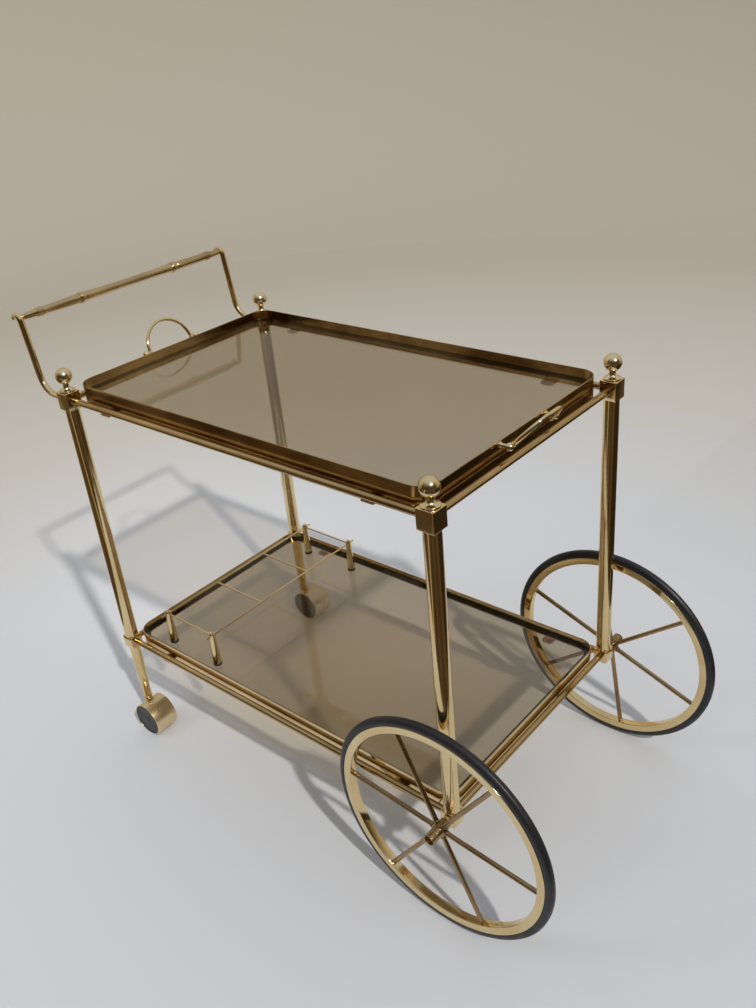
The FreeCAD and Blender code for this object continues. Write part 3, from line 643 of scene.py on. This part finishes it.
def build_wheel(side):
    """Rubber tyre in a channel rim, six rods on a turned hub, shouldered axle and screw."""
    body = "wheel_" + side
    tyre = Span("wheel_tyre_" + side)
    centre, outer, out = tyre.middle, tyre.size.z / 2, Y * SIDES[side]
    rubber = closed_soften([
        (-4.9, 149.6), (-4.9, 158.5), (-5.9, 158.6, 0.4), (-6.0, 162.6, 1.5), (-5.0, 166.6, 2.5),
        (-2.2, outer, 3.0), (2.2, outer, 3.0), (5.0, 166.6, 2.5), (6.0, 162.6, 1.5),
        (5.9, 158.6, 0.4), (4.9, 158.5), (4.9, 149.6)], 4)
    lathe("tyre_" + side, body, "tyre", TYRE, rubber, centre, out, steps=144, closed=True,
          sharp=30, replaces=("wheel_tyre_" + side,))
    channel = closed_soften([
        (-6.5, 147.5, 1.0), (-6.5, 158.5, 0.7), (-4.9, 158.5, 0.5), (-4.9, 149.5), (4.9, 149.5),
        (4.9, 158.5, 0.5), (6.5, 158.5, 0.7), (6.5, 147.5, 1.0)], 4)
    lathe("rim_" + side, body, "brass", POLISHED, channel, centre, out, steps=144, closed=True,
          replaces=("wheel_rim_" + side,))

    star = Span("wheel_star_" + side)
    start = min(abs(star.low.y), abs(star.high.y)) - abs(centre.y)
    end = max(abs(star.low.y), abs(star.high.y)) - abs(centre.y)
    bm = bmesh.new()
    hub = closed_soften([
        (start, 5.2), (start, 8.0, 0.6), (-4.5, 8.0, 0.5), (-4.5, 10.5, 1.2), (4.5, 10.5, 1.2),
        (4.5, 8.0, 0.5), (12.5, 8.0, 0.4), (13.1, 7.5, 0.3), (14.1, 7.5, 0.3), (14.7, 8.0, 0.4),
        (end, 8.0, 1.2), (end, 6.6, 0.4), (end - 8, 6.6), (end - 8, 5.2)], 3)
    turn_profile(bm, hub, centre, out, 56, closed=True)
    for count in range(SPOKES):
        angle = math.radians(WHEEL_PHASES[side] + 360 / SPOKES * count)
        way = Vector((math.cos(angle), 0, math.sin(angle)))
        spoke = [(SPOKE_START, SPOKE_RADIUS), (SPOKE_END, SPOKE_RADIUS)]
        turn_profile(bm, spoke, centre, way, 28)
        nipple = soften([(9.8, SPOKE_RADIUS), (10.2, 4.3, 0.4), (13.0, 4.3, 0.8),
                         (13.8, SPOKE_RADIUS)])
        turn_profile(bm, nipple, centre, way, 28)
    add_piece("spokes_" + side, body, "satin_brass", DARKENED, bm, sharp=40,
              replaces=("wheel_star_" + side,))

    axle = Span("wheel_axle_" + side)
    face = min(abs(axle.low.y), abs(axle.high.y)) - abs(centre.y)
    tip = max(abs(axle.low.y), abs(axle.high.y)) - abs(centre.y)
    profile = soften([(face, 7.2), (face + 3.0, 7.2, 0.6), (face + 3.0, 5.0), (tip - 3, 5.0),
                      (tip - 3, 6.2, 0.3), (tip - 1, 6.2, 0.9), (tip, 4.6, 1.5), (tip, 2.2, 0.2),
                      (tip - 1.6, 2.0, 0.2), (tip - 1.8, 0)], 4)
    lathe("axle_" + side, "frame", "brass", SATIN, profile, centre, out, steps=40,
          replaces=("wheel_axle_" + side,))


# ---------------------------------------------------------------- bottle rack
RACK_RODS = (-165.0, -55.0, 55.0, 165.0)
RACK_POST_TOP = 4.8


def build_rack():
    """Two long rods and four cross rods on four tapered posts with rubber pads."""
    rods = Span("rack_rods")
    middle, radius = rods.middle, rods.size.z / 2
    half_x = rods.size.x / 2 - radius
    bm = bmesh.new()
    for sign in (-1, 1):
        start = Vector((middle.x + sign * half_x, rods.low.y, middle.z))
        ends = soften([(0, 0), (0, radius, 0.5), (rods.size.y, radius, 0.5), (rods.size.y, 0)], 3)
        turn_profile(bm, ends, start, Y, 20)
    for place in RACK_RODS:
        start = Vector((middle.x - half_x, middle.y + place, middle.z))
        turn_profile(bm, [(0, radius), (2 * half_x, radius)], start, X, 20)
    add_piece("rack_wires", "rack", "brass", POLISHED, bm, replaces=("rack_rods",))
    for end in ENDS:
        for side in SIDES:
            name = "_%s_%s" % (end, side)
            post, pad = Span("rack_post" + name), Span("rack_pad" + name)
            dome = post.size.z - RACK_POST_TOP
            profile = soften([(0, 6.6), (0, 6.8, 0.4), (1.4, 6.8), (dome, RACK_POST_TOP)], 3)
            profile += ball_profile(dome, RACK_POST_TOP, 0, 90, 10)[1:]
            lathe("bottle_post" + name, "rack", "brass", POLISHED, profile,
                  (post.middle.x, post.middle.y, post.low.z), Z, steps=40,
                  replaces=("rack_post" + name,))
            sole = soften([(0, 0), (0, 6.4, 1.0), (1.6, 7.4, 1.2), (pad.size.z, 7.2, 0.8),
                           (pad.size.z, 0)], 3)
            lathe("bottle_pad" + name, "rack", "pad_rubber", RUBBER, sole,
                  (pad.middle.x, pad.middle.y, pad.low.z), Z, steps=36,
                  replaces=("rack_pad" + name,))


for end_name in ENDS:
    for side_name in SIDES:
        build_corner(end_name, side_name)
build_rails()
build_tier("shelf", "frame", SHELF_TALL, MELLOW)
# the tray band gets the darker band brass, whose dark tone is partly painted shade
build_tier("tray", "tray", TRAY_TALL, AGED_AND_SHADED)
build_lugs()
for end_name in ENDS:
    build_bail(end_name)
build_handle()
for side_name in SIDES:
    build_foot(side_name)
    build_caster(side_name)
for side_name in SIDES:
    build_wheel(side_name)
build_rack()


# ---------------------------------------------------------------- stage, light and camera
FLOOR_REACH, COVE_REACH, COVE_TOP = 3.4, 6.4, 5.0


def pale_paint():
    """Cool white under the object, warming to cream further out."""
    material, tree, shader = new_material("pale_paint")
    place = tree.nodes.new("ShaderNodeTexCoord")
    length = node(tree, "ShaderNodeVectorMath")
    length.operation = "LENGTH"
    tree.links.new(place.outputs["Object"], length.inputs[0])
    reach = node(tree, "ShaderNodeMapRange", From_Min=0.8, From_Max=3.0)
    tree.links.new(length.outputs["Value"], reach.inputs["Value"])
    colour = ramp(tree, reach.outputs["Result"], [(0.0, (0.665, 0.69, 0.745)), (0.35, (0.60, 0.58, 0.54)),
                                                  (1.0, (0.47, 0.43, 0.36))])
    tree.links.new(colour, shader.inputs["Base Color"])
    shader.inputs["Roughness"].default_value = 0.6
    shader.inputs["Specular IOR Level"].default_value = 0.2
    return material


def add_stage(name, profile, material):
    """A surface of revolution about the vertical axis, in metres, without its end caps."""
    bm = bmesh.new()
    turn_profile(bm, profile, Vector((0, 0, 0)), Z, 128)
    bmesh.ops.delete(bm, geom=[face for face in bm.faces if len(face.verts) > 4], context="FACES")
    mesh = bpy.data.meshes.new(name)
    bm.to_mesh(mesh)
    bm.free()
    mesh.shade_smooth()
    mesh.materials.append(material)
    surface = bpy.data.objects.new(name, mesh)
    bpy.context.scene.collection.objects.link(surface)
    return surface


def build_stage():
    """A pale floor that turns up into a cove, which gloss and lamps ignore."""
    paint = pale_paint()
    add_stage("floor", [(0, 0), (0, FLOOR_REACH)], paint)
    rise = COVE_REACH - FLOOR_REACH
    curve = [(v, u) for u, v in arc((FLOOR_REACH, rise), rise, -90, 0, 16)]
    cove = add_stage("cove", curve + [(COVE_TOP, COVE_REACH)], paint)
    cove.visible_glossy = False
    cove.visible_diffuse = False
    cove.visible_shadow = False


DARK_SIDE = (0.60, -0.80, 0.0)
# reach of the sheet of painted reflection in metres, and its bearings in degrees from +X
FLAG_INSIDE, FLAG_OUTSIDE, FLAG_FROM, FLAG_TO, FLAG_STEPS, FLAG_UP = 0.74, 3.2, -165, 88, 48, 0.002
# colour of the sheet by bearing: dark and light stripes of painted reflection that polished brass mirrors
FLAG_REFLECTION_STRIPES = ((-165, (0.30, 0.24, 0.16)), (-150, (0.10, 0.068, 0.036)), (-98, (0.080, 0.053, 0.029)),
              (-90, (0.48, 0.40, 0.28)), (-84, (0.44, 0.36, 0.25)), (-80, (0.045, 0.030, 0.017)),
              (-74, (0.100, 0.068, 0.036)), (-66, (0.050, 0.034, 0.019)), (-52, (0.105, 0.072, 0.040)),
              (-30, (0.060, 0.041, 0.023)), (-12, (0.120, 0.080, 0.044)), (4, (0.035, 0.024, 0.014)),
              (52, (0.034, 0.024, 0.015)), (64, (0.100, 0.068, 0.036)), (88, (0.070, 0.048, 0.026)))


def add_flag():
    """A dark sheet on the floor round the unlit side, which only gloss sees: it paints dark and light
    reflections into the brass.
    """
    bm = bmesh.new()
    inner = arc((0, 0), FLAG_INSIDE, FLAG_FROM, FLAG_TO, FLAG_STEPS)
    outer = arc((0, 0), FLAG_OUTSIDE, FLAG_FROM, FLAG_TO, FLAG_STEPS)
    rows = [[bm.verts.new((u, v, FLAG_UP)) for u, v in row] for row in (inner, outer)]
    for step in range(FLAG_STEPS):
        bm.faces.new((rows[0][step], rows[1][step], rows[1][step + 1], rows[0][step + 1]))
    mesh = bpy.data.meshes.new("flag")
    bm.to_mesh(mesh)
    bm.free()
    material, tree, shader = new_material("painted_reflection_sheet")
    place = tree.nodes.new("ShaderNodeTexCoord")
    turn = tree.nodes.new("ShaderNodeTexGradient")
    turn.gradient_type = "RADIAL"
    tree.links.new(place.outputs["Object"], turn.inputs["Vector"])
    # painted reflection: these stripes exist only to be mirrored by the brass
    stops = [(angle / 360 + 0.5, colour) for angle, colour in FLAG_REFLECTION_STRIPES]
    tree.links.new(ramp(tree, turn.outputs["Fac"], stops), shader.inputs["Base Color"])
    shader.inputs["Roughness"].default_value = 0.9
    shader.inputs["Specular IOR Level"].default_value = 0.0
    mesh.materials.append(material)
    flag = bpy.data.objects.new("flag", mesh)
    bpy.context.scene.collection.objects.link(flag)
    flag.visible_camera = False
    flag.visible_diffuse = False
    flag.visible_transmission = False
    flag.visible_shadow = False


def add_lamp(name, kind, energy, centre, colour, size):
    """A lamp aimed at the object; size is an area's two sides in metres or a sun's angle."""
    data = bpy.data.lights.new(name, kind)
    data.energy = energy
    data.color = colour
    if kind == "AREA":
        data.shape = "RECTANGLE"
        data.size, data.size_y = size
    else:
        data.angle = math.radians(size)
    lamp = bpy.data.objects.new(name, data)
    bpy.context.scene.collection.objects.link(lamp)
    lamp.location = centre
    aim = Vector((0, 0, 0.3)) - Vector(centre)
    lamp.rotation_euler = aim.to_track_quat("-Z", "Y").to_euler()
    return lamp


def build_light():
    """A room that is cream on one side and unlit on the other, a soft sky, a sun and a window."""
    world = bpy.data.worlds.new("studio")
    bpy.context.scene.world = world
    world.use_nodes = True
    tree = world.node_tree
    place = tree.nodes.new("ShaderNodeTexCoord")
    split = tree.nodes.new("ShaderNodeSeparateXYZ")
    tree.links.new(place.outputs["Generated"], split.inputs["Vector"])
    bright = ramp(tree, split.outputs["Z"], [(0.0, (0.62, 0.53, 0.38)), (0.45, (0.86, 0.76, 0.58)),
                                             (0.7, (0.75, 0.80, 0.88)), (1.0, (0.80, 0.88, 1.0))])
    unlit = ramp(tree, split.outputs["Z"], [(0.0, (0.09, 0.060, 0.034)), (0.32, (0.10, 0.074, 0.048)),
                                            (0.62, (0.36, 0.34, 0.31)), (0.82, (0.66, 0.70, 0.76)),
                                            (1.0, (0.80, 0.88, 1.0))])
    side = node(tree, "ShaderNodeVectorMath")
    side.operation = "DOT_PRODUCT"
    side.inputs[1].default_value = DARK_SIDE
    tree.links.new(place.outputs["Generated"], side.inputs[0])
    share = node(tree, "ShaderNodeMapRange", From_Min=-0.15, From_Max=0.35)
    share.interpolation_type = "SMOOTHSTEP"
    tree.links.new(side.outputs["Value"], share.inputs["Value"])
    mix = tree.nodes.new("ShaderNodeMix")
    mix.data_type = "RGBA"
    tree.links.new(share.outputs["Result"], mix.inputs["Factor"])
    tree.links.new(bright, mix.inputs[6])
    tree.links.new(unlit, mix.inputs[7])
    tree.links.new(mix.outputs[2], tree.nodes["Background"].inputs["Color"])
    tree.nodes["Background"].inputs["Strength"].default_value = 0.66
    add_lamp("key_sun", "SUN", 1.9, (2.6, -1.0, 3.0), (1.0, 0.95, 0.86), 2.0)
    fill = add_lamp("window", "AREA", 14, (-1.6, -2.6, 2.4), (0.95, 0.97, 1.0), (0.8, 1.4))
    fill.visible_glossy = False


def build_camera():
    """The camera stands to the front right, above the tray, slightly turned on its axis."""
    azimuth, elevation, roll = (math.radians(a) for a in (42.672, 28.807, -5.754))
    wheelbase = (Span("post_wheel_right").middle.x + Span("post_handle_right").middle.x) / 2
    place = Vector((wheelbase + 897.6, -888.9, 1126.6)) * MM
    back = Vector((math.sin(azimuth) * math.cos(elevation),
                   -math.cos(azimuth) * math.cos(elevation), math.sin(elevation)))
    right = Z.cross(back).normalized()
    top = back.cross(right)
    turned_right = right * math.cos(roll) + top * math.sin(roll)
    turned_top = top * math.cos(roll) - right * math.sin(roll)
    data = bpy.data.cameras.new("camera")
    data.sensor_fit = "HORIZONTAL"
    data.sensor_width = 36.0
    data.lens = 45.15
    data.clip_end = 100
    camera = bpy.data.objects.new("camera", data)
    bpy.context.scene.collection.objects.link(camera)
    turn = Matrix((turned_right, turned_top, back)).transposed()
    camera.matrix_world = Matrix.Translation(place) @ turn.to_4x4()
    bpy.context.scene.camera = camera


build_stage()
add_flag()
build_light()
build_camera()
bpy.context.scene.view_settings.view_transform = "Standard"
